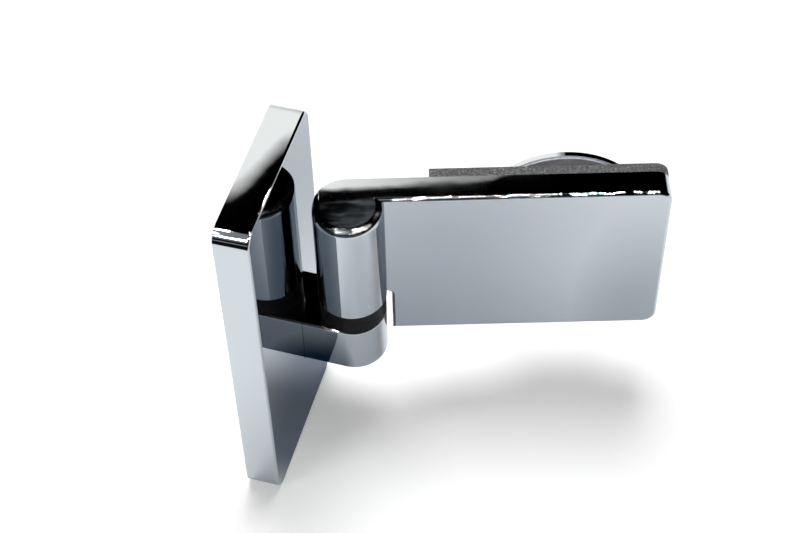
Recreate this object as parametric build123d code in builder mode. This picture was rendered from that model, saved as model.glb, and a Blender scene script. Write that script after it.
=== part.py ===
from build123d import *
import os
from math import cos, radians, sin

# Rise-and-fall hinge for a frameless glass door, glass to wall. A pair of
# helicoid cams lifts the leaf as it opens and lets its weight close it again.
# Millimetres. The origin is the centre of the wall plate's back, on the wall:
# +X points out of the wall, +Y to the side the disc is on, +Z up.

# Wall plate: a hollow cover over a base plate
plate_width = 39.8
plate_height = 93.6
plate_depth = 8.0
plate_corner_radius = 1.2
plate_edge_radius = 0.6
cover_wall = 1.2
cover_clearance = 0.1        # all round the base plate
notch_clearance = 0.15       # all round the arm where it leaves the cover
hook_width = 22.0            # rib in the cover's top wall, hooked over the base
hook_height = 0.8
hook_thickness = 1.2
hook_setback = 1.4           # from the wall to the rib
hook_clearance = 0.2

# Base plate on the wall, with slots for its four wall screws
base_thickness = 5.0
base_corner_radius = 0.6
shelf_reach = 4.0            # behind the arm, out to the cover's narrow side
slot_spacing_y = 19.0
slot_spacing_z = 68.0
slot_width = 5.5
slot_length = 10.0           # end to end
recess_margin = 2.5          # round the slot, for the screw's head
recess_depth = 2.5
pocket_depth = 1.0           # seat of the arm's root
cover_screw_radius = 1.5
cover_screw_length = 5.0
cover_screw_bite = 4.0       # length left in the base plate
cover_screw_spacing = 19.0

# Arm that carries the pivot
axis_standoff = 10.3         # from the cover's face to the hinge axis
arm_radius = 7.8
arm_bottom = -24.5
arm_height = 13.6
arm_edge_radius = 0.6
arm_screw_radius = 2.0
arm_screw_head_radius = 3.9
arm_screw_length = 9.6
arm_screw_spacing_y = 7.6
arm_screw_spacing_z = 6.0
zero_screw_radius = 1.5
zero_screw_length = 2.8
zero_screw_angle = 130.0     # of its bore, from +X round to +Y

# Cams: two ramps each, in mesh at rest
cam_band = 6.0               # height of the two cams between arm and knuckle
cam_flange = 0.8
cam_rise = 4.3
cam_ramp_angle = 125.0
cam_gap = 0.1                # between the two helicoids, along the axis
cam_step_gap = 1.5           # degrees between the upright faces
spigot_depth = 1.5
tab_width = 3.0
tab_depth = 2.0

# Pivot pin and what holds it
pin_radius = 4.0
pin_collar_radius = 5.0
pin_collar_height = 1.5
collar_clearance = 0.2       # in the cams' bore
pin_hex_width = 7.0
pin_top_chamfer = 0.8
running_clearance = 0.08
slide_clearance = 0.05
seat_clearance = 0.05
axial_play = 0.1
sleeve_radius = 6.0
sleeve_flange_radius = 6.6
sleeve_flange = 1.0
retainer_depth = 5.2         # counterbore under the sleeve's flange seat
thrust_washer_thickness = 0.7
retaining_washer_thickness = 1.0
washer_radius = 6.0
retaining_screw_radius = 2.0
retaining_screw_head_radius = 3.5
retaining_screw_head = 1.1
retaining_screw_length = 8.0
screw_chamfer = 0.3
cap_thickness = 1.1
cap_skirt = 0.8
cap_skirt_wall = 0.6

# Knuckle and leaf, one piece
knuckle_radius = 8.0
knuckle_height = 30.3
knuckle_rim_radius = 1.8
knuckle_bore_depth = 24.0
guide_radius = 6.0
guide_length = 16.0
pin_engagement = 20.0        # height of the pin's top above the knuckle's foot
leaf_angle = 17.0            # at rest, from square to the wall
leaf_reach = 72.0            # from the hinge axis
leaf_height = 46.6
leaf_thickness = 6.5
leaf_corner_radius = 3.3
leaf_front_radius = 0.9
relief_reach = 9.1           # the plate is cut back this far, beside the arm
relief_corner_radius = 1.3
web_depth = 2.3              # of the plate below the knuckle

# Glass clamp
gasket_start = 18.2
gasket_thickness = 2.5
disc_reach = 49.5
disc_radius = 19.5
disc_thickness = 1.5
disc_chamfer = 0.3
glass_gap = 6.3              # from the gasket to the disc
disc_pad_thickness = 0.5
disc_pad_inset = 0.4
hub_radius = 10.0
hub_end_gap = 0.3
bush_wall = 1.4
clamp_screw_radius = 2.5
clamp_screw_head_radius = 4.6
clamp_screw_spacing = 11.0
clamp_screw_length = 14.0
hole_clearance = 0.3
thread_run_out = 0.8         # drilled past the end of each screw

# Sockets in the screws, across flats and deep
small_socket = (2.0, 1.5)
middle_socket = (2.5, 1.6)
large_socket = (3.0, 1.9)

# Places worked out from the sizes above
axis_x = plate_depth + axis_standoff
axis_y = plate_width / 2 - arm_radius
arm_top = arm_bottom + arm_height
knuckle_bottom = arm_top + cam_band
knuckle_top = knuckle_bottom + knuckle_height
leaf_bottom = knuckle_top - leaf_height
leaf_middle = knuckle_top - leaf_height / 2
arm_root = base_thickness - pocket_depth
cam_radius = arm_radius
cam_bore_radius = pin_collar_radius + collar_clearance
sleeve_bore_radius = pin_radius + running_clearance
cam_lead = cam_rise * 360 / cam_ramp_angle
sleeve_seat = arm_bottom + retainer_depth
sleeve_top = arm_top - spigot_depth
sleeve_bottom = sleeve_seat - sleeve_flange
guide_bottom = knuckle_bottom + spigot_depth
base_half_height = plate_height / 2 - cover_wall - cover_clearance
pin_bottom = sleeve_bottom - axial_play - thrust_washer_thickness
washer_bottom = pin_bottom - retaining_washer_thickness
collar_bottom = sleeve_top + axial_play
pin_top = knuckle_bottom + pin_engagement
upper_flange = arm_top + cam_flange + cam_rise + cam_gap
web_bottom = knuckle_bottom - web_depth
disc_inner = knuckle_radius + gasket_thickness + glass_gap
disc_outer = disc_inner + disc_thickness
bush_radius = hub_radius + seat_clearance + bush_wall

along_leaf = Vector(cos(radians(leaf_angle)), sin(radians(leaf_angle)), 0)
across_leaf = Vector(-sin(radians(leaf_angle)), cos(radians(leaf_angle)), 0)
hinge_axis = Axis((axis_x, axis_y, 0), (0, 0, 1))
leaf_line = Axis((axis_x, axis_y, 0), along_leaf)
across_line = Axis((axis_x, axis_y, 0), across_leaf)


def level(height):
    """A level plane on the hinge axis, its x square to the wall."""
    return Plane(origin=(axis_x, axis_y, height), x_dir=(1, 0, 0), z_dir=(0, 0, 1))


def leaf_level(height):
    """A level plane on the hinge axis, its x along the leaf."""
    return Plane(origin=(axis_x, axis_y, height), x_dir=along_leaf, z_dir=(0, 0, 1))


def leaf_face(depth):
    """An upright plane along the leaf, its y up, facing the front of the leaf."""
    foot = Vector(axis_x, axis_y, 0) + across_leaf * depth
    return Plane(origin=foot, x_dir=along_leaf, z_dir=-across_leaf)


def clamp_seat(depth):
    """An upright plane on the middle of the glass clamp, facing away from the leaf."""
    foot = Vector(axis_x, axis_y, leaf_middle) + along_leaf * disc_reach
    return Plane(origin=foot + across_leaf * depth, x_dir=along_leaf, z_dir=across_leaf)


def leaf_end(reach):
    """A plane square across the leaf, its x towards the back and its y up."""
    foot = Vector(axis_x, axis_y, 0) + along_leaf * reach
    return Plane(origin=foot, x_dir=across_leaf, z_dir=along_leaf)


def wall_face(depth):
    """A plane parallel to the wall, its x to the side and its y up."""
    return Plane.YZ.offset(depth)


def section_of(seat):
    """The plane through a seat's axis: its x runs out of the axis, its y along it."""
    return Plane(origin=seat.origin, x_dir=seat.x_dir, z_dir=seat.x_dir.cross(seat.z_dir))


def plate_outline(inset, corner_radius):
    """The wall plate's rounded rectangle, drawn in by an inset."""
    RectangleRounded(plate_width - 2 * inset, plate_height - 2 * inset, corner_radius)


def arm_section(clearance):
    """The arm's section where it leaves the cover, open to the cover's narrow side."""
    with Locations((axis_y, arm_bottom + arm_height / 2)):
        Rectangle(2 * (arm_radius + clearance), arm_height + 2 * clearance)


def leaf_plate(start):
    """The leaf's plate seen from the front, from a start along it to its far end."""
    with Locations(((start + leaf_reach) / 2, leaf_middle)):
        Rectangle(leaf_reach - start, leaf_height)


def rim_cut():
    """What rounding the knuckle's rim takes away, with a margin outside it."""
    inner = (knuckle_radius - knuckle_rim_radius, knuckle_top)
    lower = (knuckle_radius, knuckle_top - knuckle_rim_radius)
    beyond = (knuckle_radius + knuckle_rim_radius, knuckle_top + knuckle_rim_radius)
    with BuildLine() as outline:
        RadiusArc(lower, inner, -knuckle_rim_radius)
        Polyline(inner, (inner[0], beyond[1]), beyond, (beyond[0], lower[1]), lower)
    make_face(outline.edges())


def countersunk_screw(seat, thread_radius, head_radius, length, socket):
    """A countersunk screw whose flat head lies on the seat, its shank below it."""
    head_depth = head_radius - thread_radius
    with BuildPart() as screw:
        with BuildSketch(section_of(seat)):
            with BuildLine():
                Polyline(
                    (0, 0),
                    (head_radius, 0),
                    (thread_radius, -head_depth),
                    (thread_radius, -length),
                    (0, -length),
                    close=True,
                )
            make_face()
        revolve(axis=Axis(seat.origin, seat.z_dir))
        with BuildSketch(seat):
            RegularPolygon(socket[0] / 2, 6, major_radius=False)
        extrude(amount=-socket[1], mode=Mode.SUBTRACT)
    return screw.part


def grub_screw(seat, thread_radius, length, socket):
    """A headless screw whose socket end lies on the seat."""
    with BuildPart() as screw:
        with BuildSketch(seat):
            Circle(thread_radius)
        extrude(amount=-length)
        chamfer(screw.edges().filter_by(GeomType.CIRCLE), screw_chamfer)
        with BuildSketch(seat):
            RegularPolygon(socket[0] / 2, 6, major_radius=False)
        extrude(amount=-socket[1], mode=Mode.SUBTRACT)
    return screw.part


def ring(seat, outer_radius, inner_radius, height):
    """A plain ring or washer that stands on a seat."""
    with BuildPart() as washer:
        with BuildSketch(seat):
            Circle(outer_radius)
            Circle(inner_radius, mode=Mode.SUBTRACT)
        extrude(amount=height)
    return washer.part


def tabs(seat, outer_radius, inner_radius, width, height):
    """Two tabs across a ring, or the slots that they fit."""
    with BuildPart() as pair:
        with BuildSketch(seat):
            Circle(outer_radius)
            Circle(inner_radius, mode=Mode.SUBTRACT)
            Rectangle(2 * outer_radius, width, mode=Mode.INTERSECT)
        extrude(amount=height)
    return pair.part


def cam_tabs(seat, outer_radius):
    """The two tabs under or over a cam's spigot."""
    width = tab_width - 2 * seat_clearance
    return tabs(seat, outer_radius, cam_bore_radius, width, tab_depth - seat_clearance)


def over_ramps(turn, rise):
    """What stands over a cam's two ramps, turned and raised from the fixed cam's."""
    seat = level(arm_top + cam_flange + rise).rotated((0, 0, leaf_angle - turn))
    height = cam_rise + cam_flange
    with BuildPart() as blocks:
        for start in (0, 180):
            foot = seat.rotated((0, 0, start))
            with BuildLine(foot):
                Helix(cam_lead, cam_rise, (cam_bore_radius + cam_radius) / 2, lefthand=True)
            with BuildSketch(section_of(foot)):
                with Locations(((cam_bore_radius + cam_radius) / 2, height / 2)):
                    Rectangle(cam_radius - cam_bore_radius + 2 * seat_clearance, height)
            sweep(is_frenet=True)
    return blocks.part


os.makedirs("parts", exist_ok=True)

# Wall cover
with BuildPart() as wall_cover:
    with BuildSketch(wall_face(0)):
        plate_outline(0, plate_corner_radius)
    extrude(amount=plate_depth)
    fillet(wall_cover.faces().sort_by(Axis.X)[-1].edges(), plate_edge_radius)
    with BuildSketch(wall_face(0)):
        plate_outline(cover_wall, base_corner_radius + cover_clearance)
    extrude(amount=plate_depth - cover_wall, mode=Mode.SUBTRACT)
    with BuildSketch(wall_face(hook_setback)):
        with Locations((0, plate_height / 2 - cover_wall - hook_height / 2)):
            Rectangle(hook_width, hook_height)
    extrude(amount=hook_thickness)
    with BuildSketch(wall_face(0)):
        arm_section(notch_clearance)
    extrude(amount=plate_depth, mode=Mode.SUBTRACT)
    with BuildSketch(Plane.XY.offset(-plate_height / 2)):
        with Locations((base_thickness / 2, 0)):
            with GridLocations(0, cover_screw_spacing, 1, 2):
                Circle(cover_screw_radius + seat_clearance)
    extrude(amount=cover_wall, mode=Mode.SUBTRACT)
wall_cover.part.label = "wall_cover"
export_step(wall_cover.part, "parts/wall_cover.step")

# Base plate
arm_screw_seats = [
    Plane(
        origin=(
            0,
            axis_y + side * arm_screw_spacing_y / 2,
            arm_bottom + arm_height / 2 - side * arm_screw_spacing_z / 2,
        ),
        x_dir=(0, 0, 1),
        z_dir=(-1, 0, 0),
    )
    for side in (-1, 1)
]
with BuildPart() as base_plate:
    with BuildSketch(wall_face(0)):
        plate_outline(cover_wall + cover_clearance, base_corner_radius)
    extrude(amount=base_thickness)
    with BuildSketch(wall_face(0)):
        with Locations(((plate_width - shelf_reach) / 2, arm_bottom + arm_height / 2)):
            Rectangle(shelf_reach, arm_height)
    extrude(amount=arm_root)
    with BuildSketch(wall_face(arm_root)):
        arm_section(seat_clearance)
    extrude(amount=pocket_depth, mode=Mode.SUBTRACT)
    with BuildSketch(wall_face(0)):
        with GridLocations(slot_spacing_y, slot_spacing_z, 2, 2):
            SlotOverall(slot_length, slot_width)
    extrude(amount=base_thickness, mode=Mode.SUBTRACT)
    with BuildSketch(wall_face(base_thickness)):
        with GridLocations(slot_spacing_y, slot_spacing_z, 2, 2):
            SlotOverall(slot_length + 2 * recess_margin, slot_width + 2 * recess_margin)
    extrude(amount=-recess_depth, mode=Mode.SUBTRACT)
    with BuildSketch(wall_face(hook_setback - hook_clearance)):
        with Locations((0, base_half_height)):
            Rectangle(hook_width + 2 * hook_clearance, 2 * (hook_height + hook_clearance))
    extrude(amount=hook_thickness + 2 * hook_clearance, mode=Mode.SUBTRACT)
    with BuildSketch(Plane.XY.offset(-base_half_height)):
        with Locations((base_thickness / 2, 0)):
            with GridLocations(0, cover_screw_spacing, 1, 2):
                Circle(cover_screw_radius + seat_clearance)
    extrude(amount=cover_screw_bite + thread_run_out, mode=Mode.SUBTRACT)
    with Locations(*arm_screw_seats):
        CounterSinkHole(
            arm_screw_radius + hole_clearance,
            arm_screw_head_radius + seat_clearance,
            depth=base_thickness,
        )
base_plate.part.label = "base_plate"
export_step(base_plate.part, "parts/base_plate.step")

# Grub screws that hold the cover, half in the base plate's lower edge
with BuildPart() as cover_screws:
    for side in (-1, 1):
        foot = (
            base_thickness / 2,
            side * cover_screw_spacing / 2,
            cover_screw_bite - base_half_height - cover_screw_length,
        )
        seat = Plane(origin=foot, x_dir=(1, 0, 0), z_dir=(0, 0, -1))
        add(grub_screw(seat, cover_screw_radius, cover_screw_length, small_socket))
cover_screws.part.label = "cover_screws"
export_step(cover_screws.part, "parts/cover_screws.step")

# Arm
zero_direction = Vector(cos(radians(zero_screw_angle)), sin(radians(zero_screw_angle)), 0)
zero_foot = Vector(axis_x, axis_y, (sleeve_seat + sleeve_top) / 2)
with BuildPart() as arm:
    with BuildSketch(level(arm_bottom)):
        Circle(arm_radius)
        with Locations(((arm_root - axis_x) / 2, 0)):
            Rectangle(axis_x - arm_root, 2 * arm_radius)
    extrude(amount=arm_height)
    fillet(arm.edges().filter_by(Plane.XY).sort_by(Axis.X)[2:], arm_edge_radius)
    with BuildSketch(level(sleeve_seat)):
        Circle(sleeve_radius + seat_clearance)
    extrude(amount=arm_top - sleeve_seat, mode=Mode.SUBTRACT)
    with BuildSketch(level(arm_bottom)):
        Circle(sleeve_flange_radius + seat_clearance)
    extrude(amount=retainer_depth, mode=Mode.SUBTRACT)
    with BuildSketch(*arm_screw_seats):
        Circle(arm_screw_radius + seat_clearance)
    extrude(amount=-arm_screw_length - thread_run_out, mode=Mode.SUBTRACT)
    with BuildSketch(Plane(origin=zero_foot, x_dir=(0, 0, 1), z_dir=zero_direction)):
        Circle(zero_screw_radius + seat_clearance)
    extrude(amount=2 * arm_radius, mode=Mode.SUBTRACT)
arm.part.label = "arm"
export_step(arm.part, "parts/arm.step")

# Screws that hold the arm, from the base plate's back
with BuildPart() as arm_screws:
    for seat in arm_screw_seats:
        add(
            countersunk_screw(
                seat, arm_screw_radius, arm_screw_head_radius, arm_screw_length, middle_socket
            )
        )
arm_screws.part.label = "arm_screws"
export_step(arm_screws.part, "parts/arm_screws.step")

# Bearing sleeve in the arm, turned and clamped to set where the leaf closes
with BuildPart() as bearing_sleeve:
    add(ring(level(sleeve_seat), sleeve_radius, sleeve_bore_radius, sleeve_top - sleeve_seat))
    add(ring(level(sleeve_bottom), sleeve_flange_radius, sleeve_bore_radius, sleeve_flange))
    add(
        tabs(level(sleeve_top - tab_depth), sleeve_radius, pin_radius, tab_width, tab_depth),
        mode=Mode.SUBTRACT,
    )
bearing_sleeve.part.label = "bearing_sleeve"
export_step(bearing_sleeve.part, "parts/bearing_sleeve.step")

# Grub screw that clamps the sleeve
zero_outer = zero_foot + zero_direction * (sleeve_radius + zero_screw_length)
with BuildPart() as zero_screw:
    seat = Plane(origin=zero_outer, x_dir=(0, 0, 1), z_dir=zero_direction)
    add(grub_screw(seat, zero_screw_radius, zero_screw_length, small_socket))
zero_screw.part.label = "zero_screw"
export_step(zero_screw.part, "parts/zero_screw.step")

# Lower cam, keyed to the sleeve by two tabs
with BuildPart() as lower_cam:
    add(ring(level(arm_top), cam_radius, cam_bore_radius, cam_flange + cam_rise))
    add(over_ramps(0, 0), mode=Mode.SUBTRACT)
    add(ring(level(sleeve_top), sleeve_radius, cam_bore_radius, spigot_depth))
    add(cam_tabs(level(sleeve_top - tab_depth + seat_clearance), sleeve_radius))
lower_cam.part.label = "lower_cam"
export_step(lower_cam.part, "parts/lower_cam.step")

# Upper cam, keyed to the guide bush in the knuckle
with BuildPart() as upper_cam:
    add(over_ramps(cam_step_gap, cam_gap + cam_lead * cam_step_gap / 360))
    add(ring(level(arm_top), cam_radius, cam_bore_radius, cam_band), mode=Mode.INTERSECT)
    add(ring(level(upper_flange), cam_radius, cam_bore_radius, knuckle_bottom - upper_flange))
    add(ring(level(knuckle_bottom), guide_radius, cam_bore_radius, spigot_depth))
    add(cam_tabs(leaf_level(guide_bottom), guide_radius))
upper_cam.part.label = "upper_cam"
export_step(upper_cam.part, "parts/upper_cam.step")

# Guide bush in the knuckle: the pin's hexagon turns with it and slides in it
with BuildPart() as guide_bush:
    with BuildSketch(leaf_level(guide_bottom)):
        Circle(guide_radius)
        RegularPolygon(
            pin_hex_width / 2 + slide_clearance, 6, major_radius=False, mode=Mode.SUBTRACT
        )
    extrude(amount=guide_length)
    add(
        tabs(leaf_level(guide_bottom), guide_radius, pin_radius, tab_width, tab_depth),
        mode=Mode.SUBTRACT,
    )
guide_bush.part.label = "guide_bush"
export_step(guide_bush.part, "parts/guide_bush.step")

# Pivot pin: round in the sleeve, a collar over it, six-sided in the guide bush
with BuildPart() as pivot_pin:
    with BuildSketch(level(pin_bottom)):
        Circle(pin_radius)
    extrude(amount=collar_bottom - pin_bottom)
    with BuildSketch(level(collar_bottom)):
        Circle(pin_collar_radius)
    extrude(amount=pin_collar_height)
    with BuildSketch(leaf_level(collar_bottom + pin_collar_height)):
        RegularPolygon(pin_hex_width / 2, 6, major_radius=False)
    extrude(amount=pin_top - collar_bottom - pin_collar_height)
    chamfer(pivot_pin.faces().sort_by(Axis.Z)[-1].edges(), pin_top_chamfer)
    with BuildSketch(level(pin_bottom)):
        Circle(retaining_screw_radius + seat_clearance)
    extrude(amount=retaining_screw_length, mode=Mode.SUBTRACT)
pivot_pin.part.label = "pivot_pin"
export_step(pivot_pin.part, "parts/pivot_pin.step")

# Washers and screw that keep the pin in the arm
with BuildPart() as thrust_washer:
    washer_bore_radius = pin_radius + seat_clearance
    add(ring(level(pin_bottom), washer_radius, washer_bore_radius, thrust_washer_thickness))
thrust_washer.part.label = "thrust_washer"
export_step(thrust_washer.part, "parts/thrust_washer.step")

with BuildPart() as retaining_washer:
    add(
        ring(
            level(washer_bottom),
            washer_radius,
            retaining_screw_radius + seat_clearance,
            retaining_washer_thickness,
        )
    )
retaining_washer.part.label = "retaining_washer"
export_step(retaining_washer.part, "parts/retaining_washer.step")

with BuildPart() as retaining_screw:
    with BuildSketch(level(washer_bottom)):
        Circle(retaining_screw_head_radius)
    extrude(amount=-retaining_screw_head)
    chamfer(retaining_screw.faces().sort_by(Axis.Z)[0].edges(), screw_chamfer)
    with BuildSketch(level(washer_bottom)):
        Circle(retaining_screw_radius)
    extrude(amount=retaining_screw_length)
    with BuildSketch(level(washer_bottom - retaining_screw_head)):
        RegularPolygon(middle_socket[0] / 2, 6, major_radius=False)
    extrude(amount=middle_socket[1], mode=Mode.SUBTRACT)
retaining_screw.part.label = "retaining_screw"
export_step(retaining_screw.part, "parts/retaining_screw.step")

# Plug in the arm's underside
with BuildPart() as arm_cap:
    with BuildSketch(level(arm_bottom)):
        Circle(sleeve_flange_radius)
    extrude(amount=cap_thickness)
    add(
        ring(
            level(arm_bottom + cap_thickness),
            sleeve_flange_radius,
            sleeve_flange_radius - cap_skirt_wall,
            cap_skirt,
        )
    )
arm_cap.part.label = "arm_cap"
export_step(arm_cap.part, "parts/arm_cap.step")

# Knuckle: its rim is rounded as seen from the front, so it runs out to a sharp back edge
knuckle_side = Plane(origin=(axis_x, axis_y, 0), x_dir=-along_leaf, z_dir=across_leaf)
with BuildPart() as knuckle:
    with BuildSketch(level(knuckle_bottom)):
        Circle(knuckle_radius)
    extrude(amount=knuckle_height)
    with BuildSketch(knuckle_side):
        rim_cut()
    revolve(axis=hinge_axis, revolution_arc=270, mode=Mode.SUBTRACT)
    with BuildSketch(knuckle_side):
        rim_cut()
    extrude(amount=knuckle_radius, mode=Mode.SUBTRACT)

# Leaf: the plate and the knuckle, one piece
with BuildPart() as leaf:
    with BuildSketch(leaf_face(knuckle_radius)):
        leaf_plate(0)
    extrude(amount=leaf_thickness)
    with BuildSketch(leaf_face(knuckle_radius)):
        with Locations((relief_reach / 2, (leaf_bottom + web_bottom) / 2)):
            Rectangle(relief_reach, web_bottom - leaf_bottom)
    extrude(amount=leaf_thickness, mode=Mode.SUBTRACT)
    far_corners = leaf.edges().filter_by(across_line).group_by(leaf_line)[-1]
    fillet(far_corners, leaf_corner_radius)
    relief_corner = leaf.edges().filter_by(across_line).group_by(leaf_line)[1].sort_by(Axis.Z)[-1]
    fillet(relief_corner, relief_corner_radius)
    front = leaf.faces().filter_by(across_line).sort_by(across_line)[0]
    fillet(front.edges().sort_by(leaf_line)[1:], leaf_front_radius)
    add(knuckle.part)
    with BuildSketch(level(leaf_bottom)):
        Circle(knuckle_radius)
    extrude(amount=knuckle_bottom - leaf_bottom, mode=Mode.SUBTRACT)
    with BuildSketch(level(knuckle_bottom)):
        Circle(guide_radius + seat_clearance)
    extrude(amount=knuckle_bore_depth, mode=Mode.SUBTRACT)
    with BuildSketch(clamp_seat(knuckle_radius)):
        with GridLocations(0, clamp_screw_spacing, 1, 2):
            Circle(clamp_screw_radius + seat_clearance)
    screw_depth = clamp_screw_length + knuckle_radius - disc_outer
    extrude(amount=-screw_depth - thread_run_out, mode=Mode.SUBTRACT)
leaf.part.label = "leaf"
export_step(leaf.part, "parts/leaf.step")

# Gasket between the leaf and the glass
with BuildPart() as glass_gasket:
    with BuildSketch(leaf_face(knuckle_radius + gasket_thickness)):
        leaf_plate(gasket_start)
    extrude(amount=gasket_thickness)
    far_corners = glass_gasket.edges().filter_by(across_line).group_by(leaf_line)[-1]
    fillet(far_corners, leaf_corner_radius)
    with BuildSketch(clamp_seat(knuckle_radius)):
        with GridLocations(0, clamp_screw_spacing, 1, 2):
            Circle(clamp_screw_radius + hole_clearance)
    extrude(amount=gasket_thickness, mode=Mode.SUBTRACT)
glass_gasket.part.label = "glass_gasket"
export_step(glass_gasket.part, "parts/glass_gasket.step")

# Bush in the hole through the glass, round the disc's hub
with BuildPart() as glass_bush:
    seat = clamp_seat(knuckle_radius + gasket_thickness)
    add(ring(seat, bush_radius, hub_radius + seat_clearance, glass_gap))
glass_bush.part.label = "glass_bush"
export_step(glass_bush.part, "parts/glass_bush.step")

# Clamping disc, sunk flush in the far side of the glass
clamp_screw_seats = [
    Plane(
        origin=clamp_seat(disc_outer).origin + Vector(0, 0, side * clamp_screw_spacing / 2),
        x_dir=along_leaf,
        z_dir=across_leaf,
    )
    for side in (-1, 1)
]
with BuildPart() as clamp_disc:
    with BuildSketch(clamp_seat(disc_inner)):
        Circle(disc_radius)
    extrude(amount=disc_thickness)
    chamfer(clamp_disc.edges().sort_by(across_line)[-1], disc_chamfer)
    with BuildSketch(clamp_seat(disc_inner)):
        Circle(hub_radius)
    extrude(amount=hub_end_gap - glass_gap)
    with Locations(*clamp_screw_seats):
        CounterSinkHole(
            clamp_screw_radius + hole_clearance,
            clamp_screw_head_radius + seat_clearance,
        )
clamp_disc.part.label = "clamp_disc"
export_step(clamp_disc.part, "parts/clamp_disc.step")

# Thin pad between the disc and the glass
with BuildPart() as disc_pad:
    seat = clamp_seat(disc_inner - disc_pad_thickness)
    pad_bore = bush_radius + seat_clearance
    add(ring(seat, disc_radius - disc_pad_inset, pad_bore, disc_pad_thickness))
disc_pad.part.label = "disc_pad"
export_step(disc_pad.part, "parts/disc_pad.step")

# Screws that draw the disc to the leaf
with BuildPart() as clamp_screws:
    for seat in clamp_screw_seats:
        add(
            countersunk_screw(
                seat, clamp_screw_radius, clamp_screw_head_radius, clamp_screw_length, large_socket
            )
        )
clamp_screws.part.label = "clamp_screws"
export_step(clamp_screws.part, "parts/clamp_screws.step")
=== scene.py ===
"""Finishes and a small studio for a rise-and-fall glass door hinge."""

import math

import bmesh
import bpy
from mathutils import Matrix, Vector


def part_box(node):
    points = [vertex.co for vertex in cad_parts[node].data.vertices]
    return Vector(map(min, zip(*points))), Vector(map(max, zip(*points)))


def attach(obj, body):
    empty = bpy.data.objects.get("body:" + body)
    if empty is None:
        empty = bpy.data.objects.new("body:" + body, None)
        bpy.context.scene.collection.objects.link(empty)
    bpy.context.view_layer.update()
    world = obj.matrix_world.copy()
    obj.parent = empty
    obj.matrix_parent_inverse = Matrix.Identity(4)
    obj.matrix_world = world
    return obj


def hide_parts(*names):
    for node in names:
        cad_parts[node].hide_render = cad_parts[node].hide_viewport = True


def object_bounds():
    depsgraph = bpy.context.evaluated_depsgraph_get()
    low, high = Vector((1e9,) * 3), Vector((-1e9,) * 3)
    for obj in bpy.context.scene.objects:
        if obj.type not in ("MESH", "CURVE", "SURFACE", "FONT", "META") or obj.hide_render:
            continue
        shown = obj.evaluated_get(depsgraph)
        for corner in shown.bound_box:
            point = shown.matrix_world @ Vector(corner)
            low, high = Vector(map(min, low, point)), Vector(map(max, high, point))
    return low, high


bl_info = {
    "name": "Glass Door Hinge",
    "version": (1, 0, 0),
    "blender": (4, 5, 0),
    "location": "View3D > Sidebar > Hinge",
    "description": "Finishes, screw threads and a small studio for a rise-and-fall door hinge",
    "category": "Object",
}

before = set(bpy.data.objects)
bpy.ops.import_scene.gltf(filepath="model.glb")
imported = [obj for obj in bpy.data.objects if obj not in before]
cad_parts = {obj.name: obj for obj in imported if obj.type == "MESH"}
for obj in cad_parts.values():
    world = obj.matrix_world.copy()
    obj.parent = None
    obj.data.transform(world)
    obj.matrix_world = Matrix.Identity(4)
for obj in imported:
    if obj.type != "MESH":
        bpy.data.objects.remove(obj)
CAD_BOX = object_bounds()
FLOOR_HEIGHT = CAD_BOX[0][2]

CHROME_NODES = ("arm", "leaf", "clamp_disc")

# Vertices this near are one, and this near to a line are on it
WELD_DISTANCE = 0.000001
TOUCH_DISTANCE = 0.00001

# Inner metals: name, roughness, cells of grain a metre, depth of grain, nodes
METALS = (
    (
        "zinc_plating",
        0.34,
        900.0,
        0.00001,
        ("base_plate", "arm_screws", "cover_screws", "zero_screw"),
    ),
    (
        "ground_steel",
        0.22,
        1500.0,
        0.000004,
        ("pivot_pin", "retaining_washer", "retaining_screw"),
    ),
    ("turned_brass", 0.26, 1200.0, 0.000004, ("bearing_sleeve", "guide_bush")),
    ("screw_chrome", 0.12, 1500.0, 0.000003, ("clamp_screws",)),
)

# Plastics: name, roughness, cells of grain a metre, gloss, nodes
PLASTICS = (
    ("black_plastic", 0.4, 1800.0, 0.12, ("lower_cam", "upper_cam", "arm_cap")),
    ("natural_acetal", 0.38, 1500.0, 0.5, ("thrust_washer", "glass_bush")),
    ("disc_pad_plastic", 0.3, 1000.0, 0.5, ("disc_pad",)),
)
PLASTIC_GRAIN_DEPTH = 0.00001

# The threads of each pair of screws: the foot of the first one, the way from there to the
# head, and the step to the second screw
THREAD_SETS = (
    {
        "name": "arm_screw_threads",
        "body": "wall_side",
        "slot": "steel_screw",
        "finish": "zinc_plating",
        "foot": Vector((0.0093, 0.0159, -0.0207)),
        "headward": Vector((-1.0, 0.0, 0.0)),
        "step": Vector((0.0, -0.0076, 0.006)),
        "radius": 0.0020,
        "length": 0.0060,
    },
    {
        "name": "cover_screw_threads",
        "body": "wall_side",
        "slot": "steel_screw",
        "finish": "zinc_plating",
        "foot": Vector((0.0025, -0.0095, -0.0460)),
        "headward": Vector((0.0, 0.0, 1.0)),
        "step": Vector((0.0, 0.019, 0.0)),
        "radius": 0.0015,
        "length": 0.0040,
    },
    {
        "name": "clamp_screw_threads",
        "body": "leaf_side",
        "slot": "chrome_screw",
        "finish": "screw_chrome",
        "foot": Vector((0.06429, 0.03097, -0.0034)),
        "headward": Vector((-0.2924, 0.9563, 0.0)),
        "step": Vector((0.0, 0.0, 0.011)),
        "radius": 0.0025,
        "length": 0.0098,
    },
)

# Shades on the table as polished metal mirrors it: the middle, the reach, and the depth as a
# part of the shade at the foot
WIDE_SHADE = {"centre": (0.046, -0.012), "radius": 0.075, "depth": 0.58}
FAR_SHADE = {"centre": (0.098, 0.012), "radius": 0.046}
BACK_SHADE = {"centre": (0.034, 0.082), "radius": 0.085}
OUTER_DEPTH = 0.54
FOOT_STRIP = {"centre": (0.009, 0.006), "reach": 0.024, "width": 0.029}
SECOND_BOUNCE_SHADE = 0.3
SHADOW_TINT = (0.02, 0.05, 0.10)
# Painted shade: the near black that the table turns far in front, wherever it is mirrored
PAINTED_DARK_FRONT = (0.004, 0.004, 0.005)

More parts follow.
